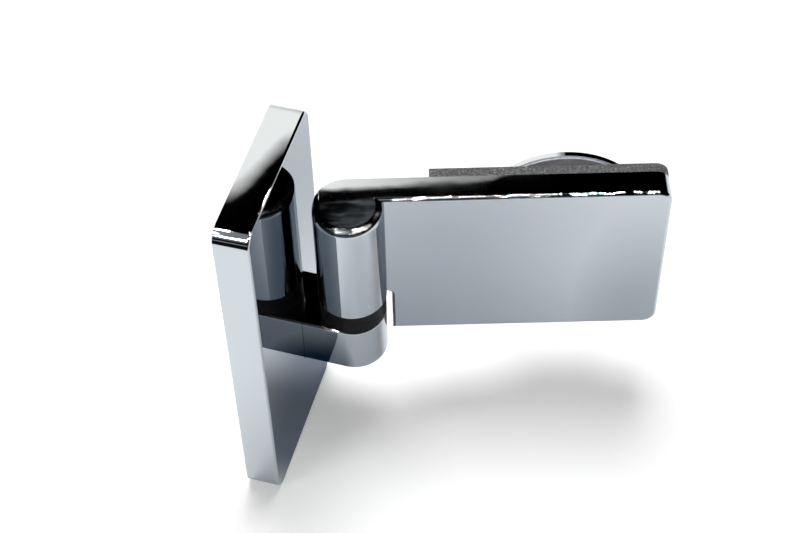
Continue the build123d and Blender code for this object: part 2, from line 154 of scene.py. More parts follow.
TABLE_SIDES = 96
TABLE_MIDDLE = 0.04
TABLE_GAP = 0.0001

# The white board: the way it stands, its ends to either side, how much higher it is on the left
BOARD_AHEAD = Vector((-0.34, 0.94, 0.0)).normalized()
BOARD_LEFT = -1.1
BOARD_RIGHT = 0.182
BOARD_RISE_START = 0.004
BOARD_RISE_END = -0.08
BOARD_RISE = 0.06
BOARD_COLOUR = (1.0, 0.95, 0.89)
BOARD_DIM_END = 0.27

# Directions and levels of the studio's walls
FRONT = (0.26, -0.97, 0.0)
STREAK_SIDEWAYS = (0.94, 0.34, 0.0)
STREAK_MIDDLE = 0.014
SCREEN_DIRECTION = Vector((-0.30, -0.62, 0.72)).normalized()
WALL_COLOUR = (0.93, 0.97, 1.0)

# Soft lamps: their places and sizes, and the point they are aimed at
OVERHEAD_PLACE, OVERHEAD_SIZE = Vector((-0.05, 0.28, 0.96)), 0.5
FILL_PLACE, FILL_SIZE = Vector((-0.45, -0.6, 0.55)), 0.4
LAMP_AIM = Vector((0.04, 0.01, 0.0))

# Rows of pinpoint lamps: first and last place, how many, radius, and how tall for its width
DISC_SIDES = 8
PINPOINT_COLOUR = (1.0, 0.93, 0.82)
PINPOINT_ROWS = (
    # the leaf's long top edge
    (Vector((0.050, -0.010, 1.0)), Vector((0.230, 0.045, 1.0)), 17, 0.0040, 1.0),
    # the top edge of the wall cover's big face
    (Vector((0.40, 0.578, 0.70)), Vector((0.40, 0.569, 0.70)), 2, 0.0042, 1.0),
    (Vector((0.40, 0.555, 0.70)), Vector((0.40, 0.5445, 0.70)), 3, 0.0016, 1.0),
    # the wall cover's upper front corner
    (Vector((-0.285, -0.169, 0.991)), Vector((-0.2745, -0.169, 0.991)), 4, 0.0007, 40.0),
    (Vector((-0.285, -0.819, 0.586)), Vector((-0.262, -0.819, 0.586)), 7, 0.0009, 32.0),
    # the rim round the knuckle's top
    (Vector((-0.50, -0.28, 0.82)), Vector((-0.20, -0.60, 0.72)), 6, 0.0038, 1.0),
    (Vector((-0.10, -0.66, 0.70)), Vector((0.38, -0.60, 0.70)), 7, 0.0038, 1.0),
    (Vector((-0.52, -0.42, 0.52)), Vector((0.42, -0.66, 0.48)), 11, 0.0038, 1.0),
    (Vector((0.28, 0.10, 0.95)), Vector((0.24, 0.28, 0.93)), 4, 0.0050, 1.0),
    # the same rim as the wall cover mirrors it
    (Vector((0.37, -0.64, 0.67)), Vector((0.60, -0.40, 0.70)), 4, 0.0060, 1.0),
    (Vector((0.66, -0.26, 0.68)), Vector((0.78, 0.13, 0.60)), 4, 0.0060, 1.0),
)

# The camera: its place, its angles in radians, and the small shift that frames the hinge
CAMERA_PLACE = Vector((0.106988, -0.235615, 0.327533))
CAMERA_TURN, CAMERA_TILT, CAMERA_ROLL = 0.3039, 0.89206, -0.03052
CAMERA_SHIFT = (0.0036, 0.0078)
SENSOR_WIDTH = 36.0
CLIP_START = 0.01


# ---------------------------------------------------------------- settings


class HingeFinishSettings(bpy.types.PropertyGroup):
    """Colours and polish of the hinge's pieces."""

    chrome_colour: bpy.props.FloatVectorProperty(
        name="Chrome",
        description="Colour that the polished chrome plating reflects",
        subtype="COLOR",
        size=3,
        min=0.0,
        max=1.0,
        default=(0.560, 0.605, 0.645),
    )
    chrome_roughness: bpy.props.FloatProperty(
        name="Chrome Roughness",
        description="How far the polish blurs a reflection",
        min=0.0,
        max=0.5,
        default=0.02,
        subtype="FACTOR",
    )
    steel_colour: bpy.props.FloatVectorProperty(
        name="Zinc-Plated Steel",
        description="Colour of the base plate and the screws",
        subtype="COLOR",
        size=3,
        min=0.0,
        max=1.0,
        default=(0.56, 0.57, 0.57),
    )
    pin_colour: bpy.props.FloatVectorProperty(
        name="Ground Steel",
        description="Colour of the pivot pin, its washer and its screw",
        subtype="COLOR",
        size=3,
        min=0.0,
        max=1.0,
        default=(0.50, 0.50, 0.49),
    )
    brass_colour: bpy.props.FloatVectorProperty(
        name="Brass",
        description="Colour of the bearing sleeve and the guide bush",
        subtype="COLOR",
        size=3,
        min=0.0,
        max=1.0,
        default=(0.78, 0.58, 0.30),
    )
    plastic_colour: bpy.props.FloatVectorProperty(
        name="Black Plastic",
        description="Colour of the two cams and the plug under the arm",
        subtype="COLOR",
        size=3,
        min=0.0,
        max=1.0,
        default=(0.006, 0.006, 0.007),
    )
    acetal_colour: bpy.props.FloatVectorProperty(
        name="Natural Acetal",
        description="Colour of the thrust washer and the bushes in the glass",
        subtype="COLOR",
        size=3,
        min=0.0,
        max=1.0,
        default=(0.74, 0.74, 0.71),
    )
    rubber_colour: bpy.props.FloatVectorProperty(
        name="Gasket",
        description="Colour of the gasket between the leaf and the glass",
        subtype="COLOR",
        size=3,
        min=0.0,
        max=1.0,
        default=(0.100, 0.102, 0.104),
    )
    pad_colour: bpy.props.FloatVectorProperty(
        name="Disc Pad",
        description="Colour of the thin pad behind the clamping disc",
        subtype="COLOR",
        size=3,
        min=0.0,
        max=1.0,
        default=(0.60, 0.60, 0.65),
    )


class HingeCoverSettings(bpy.types.PropertyGroup):
    """The softened corners of the wall cover."""

    cut_radius: bpy.props.FloatProperty(
        name="Cut Corner",
        description="Radius of the cover's corners as they are cut, before polishing",
        subtype="DISTANCE",
        min=0.0001,
        default=0.0012,
        precision=4,
    )
    polished_radius: bpy.props.FloatProperty(
        name="Polished Corner",
        description="Radius of the cover's corners after polishing",
        subtype="DISTANCE",
        min=0.0001,
        default=0.0033,
        precision=4,
    )
    crease_angle: bpy.props.FloatProperty(
        name="Crease",
        description="Faces that meet at more than this angle keep a crisp edge",
        subtype="ANGLE",
        default=math.radians(28.0),
    )


class HingeThreadSettings(bpy.types.PropertyGroup):
    """The threads on the screws."""

    pitch: bpy.props.FloatProperty(
        name="Pitch",
        description="Distance from one turn of a thread to the next",
        subtype="DISTANCE",
        min=0.0003,
        default=0.0008,
        precision=4,
    )
    ridge: bpy.props.FloatProperty(
        name="Ridge",
        description="Radius of the three-sided ridge that is wound round each shank",
        subtype="DISTANCE",
        min=0.00002,
        default=0.00012,
        precision=5,
    )
    steps: bpy.props.IntProperty(
        name="Steps",
        description="Steps in one turn of a thread",
        min=8,
        max=64,
        default=24,
    )


class HingeStageSettings(bpy.types.PropertyGroup):
    """The table, the lamps, the white board and the camera."""

    table_radius: bpy.props.FloatProperty(
        name="Table Radius",
        description="Radius of the pale table that the hinge stands on",
        subtype="DISTANCE",
        min=0.2,
        default=1.2,
    )
    table_colour: bpy.props.FloatVectorProperty(
        name="Table",
        description="Colour of the table",
        subtype="COLOR",
        size=3,
        min=0.0,
        max=1.0,
        default=(0.80, 0.80, 0.80),
    )
    table_glow: bpy.props.FloatProperty(
        name="Table Glow",
        description="How far the seen table is lifted towards white",
        min=0.0,
        max=1.0,
        default=0.33,
    )
    foot_shade: bpy.props.FloatProperty(
        name="Shade at the Foot",
        description="How dark the metal sees the table close to the hinge's foot",
        subtype="FACTOR",
        min=0.0,
        max=1.0,
        default=0.80,
    )
    overhead_power: bpy.props.FloatProperty(
        name="Overhead Lamp",
        description="Power of the soft lamp over the hinge",
        subtype="POWER",
        min=0.0,
        default=9.5,
    )
    pinpoint_level: bpy.props.FloatProperty(
        name="Pinpoint Lamps",
        description="Brightness of the small warm lamps that sparkle along polished edges",
        min=0.0,
        default=900.0,
    )
    board_level: bpy.props.FloatProperty(
        name="White Board",
        description="Brightness of the white board that stands behind the hinge",
        min=0.0,
        default=1.45,
    )
    board_distance: bpy.props.FloatProperty(
        name="Board Distance",
        description="Distance from the hinge to the white board",
        subtype="DISTANCE",
        min=0.3,
        default=0.7,
    )
    board_height: bpy.props.FloatProperty(
        name="Board Top",
        description="Height of the white board's top edge over the middle of the hinge",
        subtype="DISTANCE",
        min=0.1,
        default=0.805,
    )
    screen_level: bpy.props.FloatProperty(
        name="Grey Screen",
        description="Brightness of the grey screen high in front, seen only in polished corners",
        min=0.0,
        default=0.3,
    )
    fill_power: bpy.props.FloatProperty(
        name="Fill Lamp",
        description="Power of the soft lamp low in front on the left",
        subtype="POWER",
        min=0.0,
        default=1.8,
    )
    wall_level: bpy.props.FloatProperty(
        name="Studio Walls",
        description="Brightness of the pale lower walls in front and at the sides",
        min=0.0,
        default=0.8,
    )
    lens: bpy.props.FloatProperty(
        name="Lens",
        description="Focal length of the camera",
        subtype="DISTANCE_CAMERA",
        unit="CAMERA",
        min=20.0,
        default=81.90,
    )


# ---------------------------------------------------------------- node helpers


def fresh_material(name):
    """An empty node material of that name, with its output."""
    material = bpy.data.materials.new(name)
    material.use_nodes = True
    material.node_tree.nodes.clear()
    output = material.node_tree.nodes.new("ShaderNodeOutputMaterial")
    return material, material.node_tree, output


def math_node(tree, operation, first, second=None, third=None, clamp=False):
    """A Math node; each input is a number or a socket."""
    node = tree.nodes.new("ShaderNodeMath")
    node.operation = operation
    node.use_clamp = clamp
    for index, value in enumerate((first, second, third)):
        if value is None:
            continue
        if isinstance(value, (int, float)):
            node.inputs[index].default_value = value
        else:
            tree.links.new(value, node.inputs[index])
    return node.outputs[0]


def dot_node(tree, vector, direction):
    """The part of a vector that lies along a direction."""
    node = tree.nodes.new("ShaderNodeVectorMath")
    node.operation = "DOT_PRODUCT"
    tree.links.new(vector, node.inputs[0])
    node.inputs[1].default_value = direction
    return node.outputs["Value"]


def smooth_range(tree, value, low, high, out_low=0.0, out_high=1.0):
    """A Map Range node with smooth ends."""
    node = tree.nodes.new("ShaderNodeMapRange")
    node.interpolation_type = "SMOOTHSTEP"
    tree.links.new(value, node.inputs["Value"])
    node.inputs["From Min"].default_value = low
    node.inputs["From Max"].default_value = high
    node.inputs["To Min"].default_value = out_low
    node.inputs["To Max"].default_value = out_high
    return node.outputs["Result"]


def noise_node(tree, coordinates, scale, detail=2.0, roughness=0.5, stretch=None):
    """A Noise texture, scale in cells per metre, stretched along an axis if asked."""
    if stretch:
        mapping = tree.nodes.new("ShaderNodeMapping")
        mapping.inputs["Scale"].default_value = stretch
        tree.links.new(coordinates, mapping.inputs["Vector"])
        coordinates = mapping.outputs["Vector"]
    node = tree.nodes.new("ShaderNodeTexNoise")
    node.inputs["Scale"].default_value = scale
    node.inputs["Detail"].default_value = detail
    node.inputs["Roughness"].default_value = roughness
    tree.links.new(coordinates, node.inputs["Vector"])
    return node.outputs["Fac"]


def ramp_node(tree, factor, stops):
    """A Color Ramp from (place, colour) stops."""
    node = tree.nodes.new("ShaderNodeValToRGB")
    elements = node.color_ramp.elements
    while len(elements) < len(stops):
        elements.new(0.5)
    for element, (place, colour) in zip(elements, stops):
        element.position = place
        element.color = (*colour, 1.0)
    tree.links.new(factor, node.inputs["Fac"])
    return node.outputs["Color"]


def shade(colour, level):
    """A colour made darker or lighter by a factor."""
    return tuple(min(1.0, channel * level) for channel in colour)


def bump_node(tree, height, distance):
    """A Bump node, distance in metres."""
    node = tree.nodes.new("ShaderNodeBump")
    node.inputs["Strength"].default_value = 1.0
    node.inputs["Distance"].default_value = distance
    tree.links.new(height, node.inputs["Height"])
    return node.outputs["Normal"]


# ---------------------------------------------------------------- finishes


def chrome_material(finish):
    """Polished chrome plating: faint polishing waves and a little haze."""
    material, tree, output = fresh_material("chrome_plating")
    shader = tree.nodes.new("ShaderNodeBsdfPrincipled")
    shader.inputs["Metallic"].default_value = 1.0
    coordinates = tree.nodes.new("ShaderNodeTexCoord").outputs["Object"]
    haze = noise_node(tree, coordinates, 90.0, 3.0)
    rough = smooth_range(
        tree, haze, 0.35, 0.7, finish.chrome_roughness * 0.7, finish.chrome_roughness * 1.4
    )
    tree.links.new(rough, shader.inputs["Roughness"])
    tint = noise_node(tree, coordinates, 25.0, 2.0)
    colour = ramp_node(
        tree,
        tint,
        [(0.3, tuple(finish.chrome_colour)), (0.7, shade(finish.chrome_colour, 0.97))],
    )
    tree.links.new(colour, shader.inputs["Base Color"])
    waves = noise_node(tree, coordinates, 160.0, 1.0)
    tree.links.new(bump_node(tree, waves, 0.000004), shader.inputs["Normal"])
    tree.links.new(shader.outputs["BSDF"], output.inputs["Surface"])
    return material


def machined_metal(name, colour, roughness, grain, grain_depth):
    """A plain worked metal: a fine grain in its colour, its gloss and its surface."""
    material, tree, output = fresh_material(name)
    shader = tree.nodes.new("ShaderNodeBsdfPrincipled")
    shader.inputs["Metallic"].default_value = 1.0
    coordinates = tree.nodes.new("ShaderNodeTexCoord").outputs["Object"]
    fleck = noise_node(tree, coordinates, grain, 4.0, 0.6)
    colours = [(0.3, shade(colour, 0.82)), (0.7, tuple(colour))]
    tree.links.new(ramp_node(tree, fleck, colours), shader.inputs["Base Color"])
    tree.links.new(
        smooth_range(tree, fleck, 0.3, 0.7, roughness * 1.3, roughness * 0.8),
        shader.inputs["Roughness"],
    )
    tree.links.new(bump_node(tree, fleck, grain_depth), shader.inputs["Normal"])
    tree.links.new(shader.outputs["BSDF"], output.inputs["Surface"])
    return material


def moulded_plastic(name, colour, roughness, grain, grain_depth, gloss):
    """A moulded plastic with a fine spark-eroded grain."""
    material, tree, output = fresh_material(name)
    shader = tree.nodes.new("ShaderNodeBsdfPrincipled")
    coordinates = tree.nodes.new("ShaderNodeTexCoord").outputs["Object"]
    shader.inputs["Specular IOR Level"].default_value = gloss
    fleck = noise_node(tree, coordinates, grain, 3.0, 0.6)
    colours = [(0.3, shade(colour, 0.9)), (0.7, tuple(colour))]
    tree.links.new(ramp_node(tree, fleck, colours), shader.inputs["Base Color"])
    tree.links.new(
        smooth_range(tree, fleck, 0.3, 0.7, roughness * 0.85, roughness * 1.15),
        shader.inputs["Roughness"],
    )
    tree.links.new(bump_node(tree, fleck, grain_depth), shader.inputs["Normal"])
    tree.links.new(shader.outputs["BSDF"], output.inputs["Surface"])
    return material


def gasket_material(finish):
    """Pressed fibre: pale and dark flecks in a grey sheet, dull and slightly rough."""
    material, tree, output = fresh_material("gasket_fibre")
    shader = tree.nodes.new("ShaderNodeBsdfPrincipled")
    coordinates = tree.nodes.new("ShaderNodeTexCoord").outputs["Object"]
    fleck = noise_node(tree, coordinates, 1900.0, 3.0, 0.75)
    colour = tuple(finish.rubber_colour)
    stops = [
        (0.36, shade(colour, 0.45)),
        (0.46, shade(colour, 0.85)),
        (0.56, shade(colour, 1.1)),
        (0.66, shade(colour, 2.6)),
    ]
    tree.links.new(ramp_node(tree, fleck, stops), shader.inputs["Base Color"])
    shader.inputs["Roughness"].default_value = 0.62
    shader.inputs["Specular IOR Level"].default_value = 0.3
    tree.links.new(bump_node(tree, fleck, 0.00006), shader.inputs["Normal"])
    tree.links.new(shader.outputs["BSDF"], output.inputs["Surface"])
    return material


def finish_nodes(names, material):
    """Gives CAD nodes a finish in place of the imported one."""
    for name in names:
        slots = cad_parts[name].material_slots
        if not slots:
            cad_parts[name].data.materials.append(material)
        for slot in slots:
            slot.material = material


# ---------------------------------------------------------------- pieces


def plain_mesh(piece):
    """Applies a piece's modifiers, so that it is a plain mesh."""
    ready = piece.evaluated_get(bpy.context.evaluated_depsgraph_get())
    piece.data = bpy.data.meshes.new_from_object(ready)
    piece.modifiers.clear()


def polished_cover(settings):
    """The CAD cover, its four corner arcs spread from the cut radius to the polished one."""
    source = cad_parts["wall_cover"].data
    shell = bmesh.new()
    shell.from_mesh(source)
    bmesh.ops.remove_doubles(shell, verts=shell.verts, dist=WELD_DISTANCE)
    low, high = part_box("wall_cover")
    grown = settings.polished_radius - settings.cut_radius
    reach = settings.cut_radius + TOUCH_DISTANCE
    for vertex in shell.verts:
        place = vertex.co
        side = high[1] if place.y > 0 else low[1]
        end = high[2] if place.z > 0 else low[2]
        if abs(side - place.y) > reach or abs(end - place.z) > reach:
            continue
        outward = Vector((0.0, math.copysign(1.0, side), math.copysign(1.0, end)))
        corner = Vector((place.x, side, end))
        old_centre = corner - outward * settings.cut_radius
        spoke = place - old_centre
        if spoke.length < TOUCH_DISTANCE:
            continue
        new_centre = corner - outward * settings.polished_radius
        vertex.co = new_centre + spoke * (1.0 + grown / spoke.length)
    shell.verts.index_update()
    mesh = bpy.data.meshes.new("wall_cover_polished")
    faces = [[vertex.index for vertex in face.verts] for face in shell.faces]
    mesh.from_pydata([vertex.co[:] for vertex in shell.verts], [], faces)
    shell.free()
    mesh.shade_smooth()
    mesh.set_sharp_from_angle(angle=settings.crease_angle)
    cover = bpy.data.objects.new("wall_cover_polished", mesh)
    bpy.context.scene.collection.objects.link(cover)
    weighted = cover.modifiers.new("flat_faces", "WEIGHTED_NORMAL")
    weighted.keep_sharp = True
    weighted.weight = 100
    plain_mesh(cover)
    return cover


def thread_tree():
    """A node tree that winds a ridge round each screw of a row."""
    tree = bpy.data.node_groups.new("screw_threads", "GeometryNodeTree")
    tree.interface.new_socket("Geometry", in_out="OUTPUT", socket_type="NodeSocketGeometry")
    for name, kind in (
        ("Radius", "Float"),
        ("Length", "Float"),
        ("Pitch", "Float"),
        ("Ridge", "Float"),
        ("Steps", "Int"),
        ("Count", "Int"),
        ("Step", "Vector"),
        ("Material", "Material"),
    ):
        tree.interface.new_socket(name, in_out="INPUT", socket_type=f"NodeSocket{kind}")
    given = tree.nodes.new("NodeGroupInput").outputs
    turns = tree.nodes.new("ShaderNodeMath")
    turns.operation = "DIVIDE"
    tree.links.new(given["Length"], turns.inputs[0])
    tree.links.new(given["Pitch"], turns.inputs[1])
    spiral = tree.nodes.new("GeometryNodeCurveSpiral")
    tree.links.new(given["Steps"], spiral.inputs["Resolution"])
    tree.links.new(turns.outputs[0], spiral.inputs["Rotations"])
    tree.links.new(given["Radius"], spiral.inputs["Start Radius"])
    tree.links.new(given["Radius"], spiral.inputs["End Radius"])
    tree.links.new(given["Length"], spiral.inputs["Height"])
    profile = tree.nodes.new("GeometryNodeCurvePrimitiveCircle")
    profile.inputs["Resolution"].default_value = 3
    tree.links.new(given["Ridge"], profile.inputs["Radius"])
    wound = tree.nodes.new("GeometryNodeCurveToMesh")
    wound.inputs["Fill Caps"].default_value = True
    tree.links.new(spiral.outputs["Curve"], wound.inputs["Curve"])
    tree.links.new(profile.outputs["Curve"], wound.inputs["Profile Curve"])
    row = tree.nodes.new("GeometryNodeMeshLine")
    row.mode = "OFFSET"
    tree.links.new(given["Count"], row.inputs["Count"])
    tree.links.new(given["Step"], row.inputs["Offset"])
    placed = tree.nodes.new("GeometryNodeInstanceOnPoints")
    tree.links.new(row.outputs["Mesh"], placed.inputs["Points"])
    tree.links.new(wound.outputs["Mesh"], placed.inputs["Instance"])
    real = tree.nodes.new("GeometryNodeRealizeInstances")
    tree.links.new(placed.outputs["Instances"], real.inputs["Geometry"])
    finished = tree.nodes.new("GeometryNodeSetMaterial")
    tree.links.new(real.outputs["Geometry"], finished.inputs["Geometry"])
    tree.links.new(given["Material"], finished.inputs["Material"])
    output = tree.nodes.new("NodeGroupOutput")
    tree.links.new(finished.outputs["Geometry"], output.inputs["Geometry"])
    return tree


def screw_threads(tree, settings, screws, material):
    """The threads of one pair of screws, as a plain mesh in place."""
    turn = screws["headward"].to_track_quat("Z", "Y")
    values = {
        "Radius": screws["radius"],
        "Length": screws["length"],
        "Pitch": settings.pitch,
        "Ridge": settings.ridge,
        "Steps": settings.steps,
        "Count": 2,
        "Step": turn.inverted() @ screws["step"],
        "Material": material,
    }
    threads = bpy.data.objects.new(screws["name"], bpy.data.meshes.new(screws["name"]))
    bpy.context.scene.collection.objects.link(threads)
    modifier = threads.modifiers.new("threads", "NODES")
    modifier.node_group = tree
    for socket in tree.interface.items_tree:
        if socket.in_out == "INPUT":
            modifier[socket.identifier] = values[socket.name]
    plain_mesh(threads)
    threads.data.materials.pop(index=0)
    threads.data.transform(Matrix.Translation(screws["foot"]) @ turn.to_matrix().to_4x4())
    return threads


# ---------------------------------------------------------------- operators


class HINGE_OT_chrome(bpy.types.Operator):
    """Gives the arm, the leaf and the disc their chrome plating"""

    bl_idname = "hinge.chrome"
    bl_label = "Chrome Plating"
    bl_options = {"REGISTER", "UNDO"}

    def execute(self, context):
        finish = context.scene.hinge_finish
        finish_nodes(CHROME_NODES, chrome_material(finish))
        return {"FINISHED"}


class HINGE_OT_cover(bpy.types.Operator):
    """Makes the wall cover with its corners polished to a larger radius"""

    bl_idname = "hinge.cover"
    bl_label = "Wall Cover"
    bl_options = {"REGISTER", "UNDO"}

    def execute(self, context):
        cover = polished_cover(context.scene.hinge_cover)
        material = bpy.data.materials.get("chrome_plating")
        if material is None:
            raise RuntimeError("the chrome plating is made before the wall cover")
        cover.data.materials.append(material)
        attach(cover, "wall_side")
        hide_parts("wall_cover")
        return {"FINISHED"}


class HINGE_OT_steel(bpy.types.Operator):
    """Gives the base plate, the screws, the pin and the sleeve their metal"""

    bl_idname = "hinge.steel"
    bl_label = "Inner Metal"
    bl_options = {"REGISTER", "UNDO"}

    def execute(self, context):
        finish = context.scene.hinge_finish
        colours = (
            finish.steel_colour,
            finish.pin_colour,
            finish.brass_colour,
            finish.chrome_colour,
        )
        for (name, roughness, grain, depth, nodes), colour in zip(METALS, colours):
            finish_nodes(nodes, machined_metal(name, colour, roughness, grain, depth))
        return {"FINISHED"}


class HINGE_OT_threads(bpy.types.Operator):
    """Winds the threads on the screws of the arm, the cover and the clamp"""

    bl_idname = "hinge.threads"
    bl_label = "Screw Threads"
    bl_options = {"REGISTER", "UNDO"}

    def execute(self, context):
        tree = thread_tree()
        for screws in THREAD_SETS:
            material = bpy.data.materials.get(screws["finish"])
            if material is None:
                raise RuntimeError("the inner metal is made before the threads")
            threads = screw_threads(tree, context.scene.hinge_threads, screws, material)
            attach(threads, screws["body"])
        return {"FINISHED"}


class HINGE_OT_plastic(bpy.types.Operator):
    """Gives the cams, the bushes, the plug, the gasket and the pad their plastic"""

    bl_idname = "hinge.plastic"
    bl_label = "Plastic and Gasket"
    bl_options = {"REGISTER", "UNDO"}

    def execute(self, context):
        finish = context.scene.hinge_finish
        finish_nodes(("glass_gasket",), gasket_material(finish))
        colours = (finish.plastic_colour, finish.acetal_colour, finish.pad_colour)
        for (name, roughness, grain, gloss, nodes), colour in zip(PLASTICS, colours):
            plastic = moulded_plastic(name, colour, roughness, grain, PLASTIC_GRAIN_DEPTH, gloss)
            finish_nodes(nodes, plastic)
        return {"FINISHED"}


class HINGE_OT_stage(bpy.types.Operator):
    """Sets up the pale table, the white board, the walls, the lamps and the camera"""

    bl_idname = "hinge.stage"
    bl_label = "Studio"
    bl_options = {"REGISTER", "UNDO"}

    def execute(self, context):
        stage = context.scene.hinge_stage
        make_table(stage)
        make_board(stage)
        make_world(context.scene, stage)
        make_lamps(context.scene, stage)
        make_camera(context.scene, stage)
        context.scene.view_settings.view_transform = "Standard"
        return {"FINISHED"}


# ---------------------------------------------------------------- studio


def stage_mesh(name, corners, faces, material):
    """A piece of the studio, made from its corners in place."""
    mesh = bpy.data.meshes.new(name)
    mesh.from_pydata(corners, [], faces)
    mesh.materials.append(material)
    piece = bpy.data.objects.new(name, mesh)
    bpy.context.scene.collection.objects.link(piece)
    return piece


def lobe(tree, coordinates, centre, radius):
    """One at a point of the table, falling to nothing over a radius."""
    node = tree.nodes.new("ShaderNodeVectorMath")
    node.operation = "DISTANCE"
    tree.links.new(coordinates, node.inputs[0])
    node.inputs[1].default_value = (*centre, FLOOR_HEIGHT)
    return smooth_range(tree, node.outputs["Value"], 0.0, radius, 1.0, 0.0)


def strip(tree, coordinates, centre, reach, width):
    """One along a line over the table in Y, falling to nothing past its ends and its sides."""
    moved = tree.nodes.new("ShaderNodeVectorMath")
    moved.operation = "SUBTRACT"
    tree.links.new(coordinates, moved.inputs[0])
    moved.inputs[1].default_value = (*centre, FLOOR_HEIGHT)
    place = moved.outputs["Vector"]
    along = math_node(tree, "ABSOLUTE", dot_node(tree, place, (0.0, 1.0, 0.0)))
    across = math_node(tree, "ABSOLUTE", dot_node(tree, place, (1.0, 0.0, 0.0)))
    ends = smooth_range(tree, along, reach * 0.6, reach * 1.4, 1.0, 0.0)
    sides = smooth_range(tree, across, width * 0.1, width, 1.0, 0.0)
    return math_node(tree, "MULTIPLY", ends, sides)


def mix_colour(tree, factor, first, second):
    """A colour between two others; each is a colour or a socket."""
    node = tree.nodes.new("ShaderNodeMix")
    node.data_type = "RGBA"
    tree.links.new(factor, node.inputs["Factor"])
    for socket, colour in ((node.inputs[6], first), (node.inputs[7], second)):
        if isinstance(colour, tuple):
            socket.default_value = (*colour, 1.0)
        else:
            tree.links.new(colour, socket)
    return node.outputs[2]


def table_shade(tree, coordinates, depth):
    """How deep in shade polished metal sees each place of the table, from none to all."""
    wide = lobe(tree, coordinates, WIDE_SHADE["centre"], WIDE_SHADE["radius"])
    wide = math_node(tree, "MULTIPLY", wide, WIDE_SHADE["depth"] * depth)
    foot = math_node(tree, "MULTIPLY", strip(tree, coordinates, **FOOT_STRIP), depth)
    far = lobe(tree, coordinates, **FAR_SHADE)
    back = lobe(tree, coordinates, **BACK_SHADE)
    outer = math_node(tree, "MAXIMUM", far, back)
    outer = math_node(tree, "MULTIPLY", outer, OUTER_DEPTH * depth)
    return math_node(tree, "MAXIMUM", foot, math_node(tree, "MAXIMUM", wide, outer))


def table_material(stage):
    """A pale table: lifted to white where it is seen, cool and shaded where it is mirrored."""
    material, tree, output = fresh_material("pale_table")
    path = tree.nodes.new("ShaderNodeLightPath")
    seen = path.outputs["Is Camera Ray"]
    coordinates = tree.nodes.new("ShaderNodeTexCoord").outputs["Object"]
    shaded = table_shade(tree, coordinates, stage.foot_shade)
    once = math_node(tree, "LESS_THAN", path.outputs["Glossy Depth"], 1.5)
    twice = math_node(tree, "SUBTRACT", path.outputs["Is Glossy Ray"], once, clamp=True)
    shaded = math_node(tree, "MULTIPLY_ADD", twice, SECOND_BOUNCE_SHADE, shaded, clamp=True)
    bright = tuple(stage.table_colour)
    mirrored = mix_colour(tree, shaded, bright, SHADOW_TINT)
    # painted shade: far in front the table is near black where it is mirrored, though it is seen
    # pale
    ahead = dot_node(tree, coordinates, (0.0, 1.0, 0.0))
    near = smooth_range(tree, ahead, low=-0.155, high=-0.115)
    mirrored = mix_colour(tree, near, PAINTED_DARK_FRONT, mirrored)
    base = mix_colour(tree, seen, mirrored, bright)
    diffuse = tree.nodes.new("ShaderNodeBsdfDiffuse")
    tree.links.new(base, diffuse.inputs["Color"])
    glow = tree.nodes.new("ShaderNodeEmission")
    tree.links.new(base, glow.inputs["Color"])
    lifted = math_node(tree, "MULTIPLY", path.outputs["Is Glossy Ray"], once)
    lifted = math_node(tree, "MAXIMUM", seen, lifted)
    strength = math_node(tree, "MULTIPLY", lifted, stage.table_glow)
    tree.links.new(strength, glow.inputs["Strength"])
    both = tree.nodes.new("ShaderNodeAddShader")
    tree.links.new(diffuse.outputs[0], both.inputs[0])
    tree.links.new(glow.outputs[0], both.inputs[1])
    tree.links.new(both.outputs[0], output.inputs["Surface"])
    return material


def make_table(stage):
    """A round pale table under the hinge."""
    radius = stage.table_radius
    height = FLOOR_HEIGHT - TABLE_GAP
    turns = [math.tau * step / TABLE_SIDES for step in range(TABLE_SIDES)]
    rim = [
        (TABLE_MIDDLE + radius * math.cos(turn), radius * math.sin(turn), height) for turn in turns
    ]
    stage_mesh("studio_table", rim, [tuple(range(TABLE_SIDES))], table_material(stage))


def glow_material(name, colour, level):
    """A plain light source."""
    material, tree, output = fresh_material(name)
    glow = tree.nodes.new("ShaderNodeEmission")
    glow.inputs["Color"].default_value = (*colour, 1.0)
    glow.inputs["Strength"].default_value = level
    tree.links.new(glow.outputs[0], output.inputs["Surface"])
    return material, tree, glow


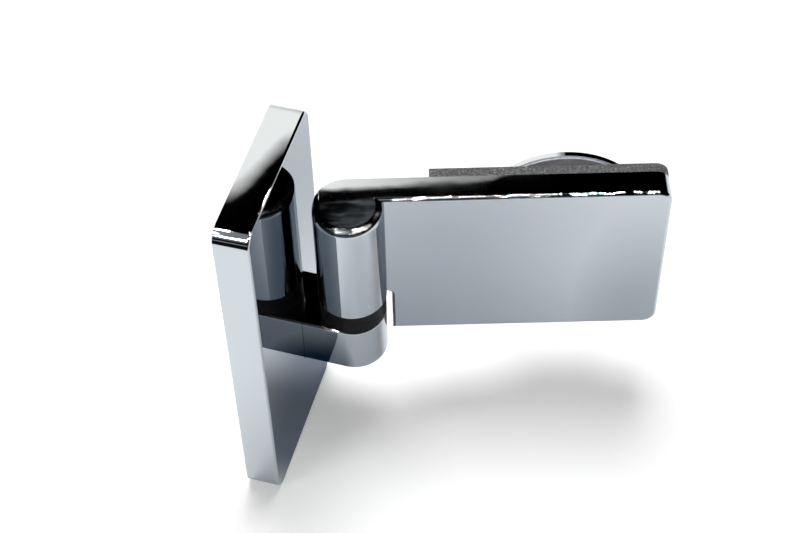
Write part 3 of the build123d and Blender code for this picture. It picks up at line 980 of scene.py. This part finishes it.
def make_board(stage):
    """A white board behind the hinge, dimmer to the right, that the level faces mirror."""
    sideways = Vector((BOARD_AHEAD.y, -BOARD_AHEAD.x, 0.0))
    middle = BOARD_AHEAD * stage.board_distance
    outline = (
        (BOARD_LEFT, FLOOR_HEIGHT),
        (BOARD_RIGHT, FLOOR_HEIGHT),
        (BOARD_RIGHT, stage.board_height),
        (BOARD_RISE_START, stage.board_height),
        (BOARD_RISE_END, stage.board_height + BOARD_RISE),
        (BOARD_LEFT, stage.board_height + BOARD_RISE),
    )
    corners = [middle + sideways * across + Vector((0, 0, up)) for across, up in outline]
    material, tree, glow = glow_material("white_board", BOARD_COLOUR, 1.0)
    coordinates = tree.nodes.new("ShaderNodeTexCoord").outputs["Object"]
    along = dot_node(tree, coordinates, sideways)
    above = dot_node(tree, coordinates, (0.0, 0.0, 1.0))
    dim = BOARD_DIM_END * stage.board_level
    level = smooth_range(tree, along, -0.01, 0.16, out_low=stage.board_level, out_high=dim)
    # how soft the top edge is, and how its height changes from the left to the right
    fade = smooth_range(tree, along, -0.02, 0.01, out_low=0.024, out_high=0.005)
    lift = smooth_range(tree, along, -0.075, -0.005, out_low=0.062, out_high=0.0)
    drop = smooth_range(tree, along, -0.015, 0.004, out_low=0.0125, out_high=0.0)
    top = math_node(tree, "ADD", math_node(tree, "SUBTRACT", lift, drop), stage.board_height)
    # the lit top edge dips lower near the right end
    right_dip = smooth_range(tree, along, 0.13, 0.175, out_low=0.0, out_high=0.012)
    below = math_node(tree, "SUBTRACT", top, math_node(tree, "ADD", above, right_dip))
    soft = math_node(tree, "DIVIDE", below, fade, clamp=True)
    level = math_node(tree, "MULTIPLY", level, soft)
    tree.links.new(level, glow.inputs["Strength"])
    board = stage_mesh("studio_board", corners, [tuple(range(len(outline)))], material)
    board.visible_camera = False


def make_world(scene, stage):
    """Pale lower walls in front and at the sides, a dark ceiling over them."""
    world = bpy.data.worlds.new("studio_walls")
    world.use_nodes = True
    tree = world.node_tree
    tree.nodes.clear()
    output = tree.nodes.new("ShaderNodeOutputWorld")
    background = tree.nodes.new("ShaderNodeBackground")
    direction = tree.nodes.new("ShaderNodeTexCoord").outputs["Generated"]
    height = dot_node(tree, direction, (0.0, 0.0, 1.0))
    front = dot_node(tree, direction, FRONT)
    # what lights the hinge: walls up to half height, paler in front
    walls = smooth_range(tree, height, 0.42, 0.56, out_low=stage.wall_level, out_high=0.0)
    reach = smooth_range(tree, front, -0.2, 0.6, out_low=0.45, out_high=1.0)
    walls = math_node(tree, "MULTIPLY", walls, reach)
    # what polished metal mirrors: low walls, a grey screen and a few streaks over the board
    low = smooth_range(tree, height, -0.02, 0.05, out_low=0.5 * stage.wall_level, out_high=0.0)
    screen = dot_node(tree, direction, SCREEN_DIRECTION)
    screen = smooth_range(tree, screen, 0.83, 0.88, out_low=0.0, out_high=stage.screen_level)
    streaks = noise_node(tree, direction, 120.0, 3.0, 0.7, stretch=(0.35, 0.35, 4.5))
    high = smooth_range(tree, height, low=0.7513, high=0.7530)
    beside = dot_node(tree, direction, STREAK_SIDEWAYS)
    beside = math_node(tree, "ABSOLUTE", math_node(tree, "SUBTRACT", beside, STREAK_MIDDLE))
    beside = smooth_range(tree, beside, 0.012, 0.032, out_low=1.0, out_high=0.0)
    high = math_node(tree, "MULTIPLY", high, beside)
    ceiling = smooth_range(tree, streaks, 0.46, 0.62, out_low=0.004, out_high=0.15)
    mirrored = math_node(tree, "MULTIPLY_ADD", ceiling, high, low)
    mirrored = math_node(tree, "ADD", mirrored, screen)
    path = tree.nodes.new("ShaderNodeLightPath")
    dim = math_node(tree, "SUBTRACT", mirrored, walls)
    level = math_node(tree, "MULTIPLY_ADD", dim, path.outputs["Is Glossy Ray"], walls)
    level = math_node(tree, "MAXIMUM", level, path.outputs["Is Camera Ray"])
    background.inputs["Color"].default_value = (*WALL_COLOUR, 1.0)
    tree.links.new(level, background.inputs["Strength"])
    tree.links.new(background.outputs[0], output.inputs["Surface"])
    scene.world = world


def soft_lamp(scene, name, place, size, power):
    """A round soft lamp aimed at the hinge, felt but never mirrored."""
    lamp = bpy.data.lights.new(name, "AREA")
    lamp.shape = "DISK"
    lamp.size = size
    lamp.energy = power
    holder = bpy.data.objects.new(name, lamp)
    holder.location = place
    holder.rotation_euler = (LAMP_AIM - place).to_track_quat("-Z", "Y").to_euler()
    holder.visible_glossy = False
    scene.collection.objects.link(holder)


def lamp_row(corners, faces, first, last, count, radius, tall):
    """Small discs at equal steps from one place to another."""
    for step in range(count):
        add_disc(corners, faces, first.lerp(last, step / (count - 1)), radius, tall)


def make_lamps(scene, stage):
    """Two soft lamps, and rows of small warm ones that sparkle along the polished edges."""
    soft_lamp(scene, "overhead_lamp", OVERHEAD_PLACE, OVERHEAD_SIZE, stage.overhead_power)
    soft_lamp(scene, "fill_lamp", FILL_PLACE, FILL_SIZE, stage.fill_power)
    corners, faces = [], []
    for row in PINPOINT_ROWS:
        lamp_row(corners, faces, *row)
    material = glow_material("pinpoint_lamp", PINPOINT_COLOUR, stage.pinpoint_level)[0]
    lamps = stage_mesh("pinpoint_lamps", corners, faces, material)
    lamps.visible_camera = False
    lamps.visible_diffuse = False


def add_disc(corners, faces, place, radius, tall):
    """A small disc that faces the hinge, its long side in the YZ plane."""
    upward = Vector((1.0, 0.0, 0.0)).cross(place).normalized()
    sideways = upward.cross(place).normalized()
    first = len(corners)
    for step in range(DISC_SIDES):
        angle = math.tau * step / DISC_SIDES
        spoke = sideways * math.cos(angle) + upward * tall * math.sin(angle)
        corners.append(place + spoke * radius)
    faces.append(tuple(range(first, first + DISC_SIDES)))


def make_camera(scene, stage):
    """The camera, looking down on the hinge from the front and the right."""
    camera = bpy.data.cameras.new("camera")
    camera.lens = stage.lens
    camera.sensor_width = SENSOR_WIDTH
    camera.shift_x, camera.shift_y = CAMERA_SHIFT
    camera.clip_start = CLIP_START
    holder = bpy.data.objects.new("camera", camera)
    level = Vector((math.cos(CAMERA_TURN), math.sin(CAMERA_TURN), 0.0))
    forward = Vector((-level.y, level.x, 0.0))
    ahead = forward * math.cos(CAMERA_TILT) - Vector((0.0, 0.0, math.sin(CAMERA_TILT)))
    upward = level.cross(ahead)
    right = level * math.cos(CAMERA_ROLL) + upward * math.sin(CAMERA_ROLL)
    above = upward * math.cos(CAMERA_ROLL) - level * math.sin(CAMERA_ROLL)
    rotation = Matrix((right, above, -ahead)).transposed().to_4x4()
    holder.matrix_world = Matrix.Translation(CAMERA_PLACE) @ rotation
    scene.collection.objects.link(holder)
    scene.camera = holder


# ---------------------------------------------------------------- panel


class HINGE_PT_panel(bpy.types.Panel):
    """The hinge's finishes and studio"""

    bl_idname = "HINGE_PT_panel"
    bl_label = "Glass Door Hinge"
    bl_space_type = "VIEW_3D"
    bl_region_type = "UI"
    bl_category = "Hinge"

    def draw(self, context):
        layout = self.layout
        scene = context.scene
        groups = (scene.hinge_finish, scene.hinge_cover, scene.hinge_threads, scene.hinge_stage)
        for group in groups:
            column = layout.column(align=True)
            for name in group.__annotations__:
                column.prop(group, name)
        for operator in OPERATORS:
            layout.operator(operator.bl_idname)


OPERATORS = (
    HINGE_OT_chrome,
    HINGE_OT_cover,
    HINGE_OT_steel,
    HINGE_OT_threads,
    HINGE_OT_plastic,
    HINGE_OT_stage,
)
CLASSES = (
    HingeFinishSettings,
    HingeCoverSettings,
    HingeThreadSettings,
    HingeStageSettings,
    *OPERATORS,
    HINGE_PT_panel,
)


def register():
    for each in CLASSES:
        bpy.utils.register_class(each)
    bpy.types.Scene.hinge_finish = bpy.props.PointerProperty(type=HingeFinishSettings)
    bpy.types.Scene.hinge_cover = bpy.props.PointerProperty(type=HingeCoverSettings)
    bpy.types.Scene.hinge_threads = bpy.props.PointerProperty(type=HingeThreadSettings)
    bpy.types.Scene.hinge_stage = bpy.props.PointerProperty(type=HingeStageSettings)


def unregister():
    del bpy.types.Scene.hinge_stage
    del bpy.types.Scene.hinge_threads
    del bpy.types.Scene.hinge_cover
    del bpy.types.Scene.hinge_finish
    for each in reversed(CLASSES):
        bpy.utils.unregister_class(each)


def main():
    """Registers the add-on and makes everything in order."""
    register()
    bpy.ops.hinge.chrome()
    bpy.ops.hinge.cover()
    bpy.ops.hinge.steel()
    bpy.ops.hinge.threads()
    bpy.ops.hinge.plastic()
    bpy.ops.hinge.stage()


if __name__ == "__main__":
    main()
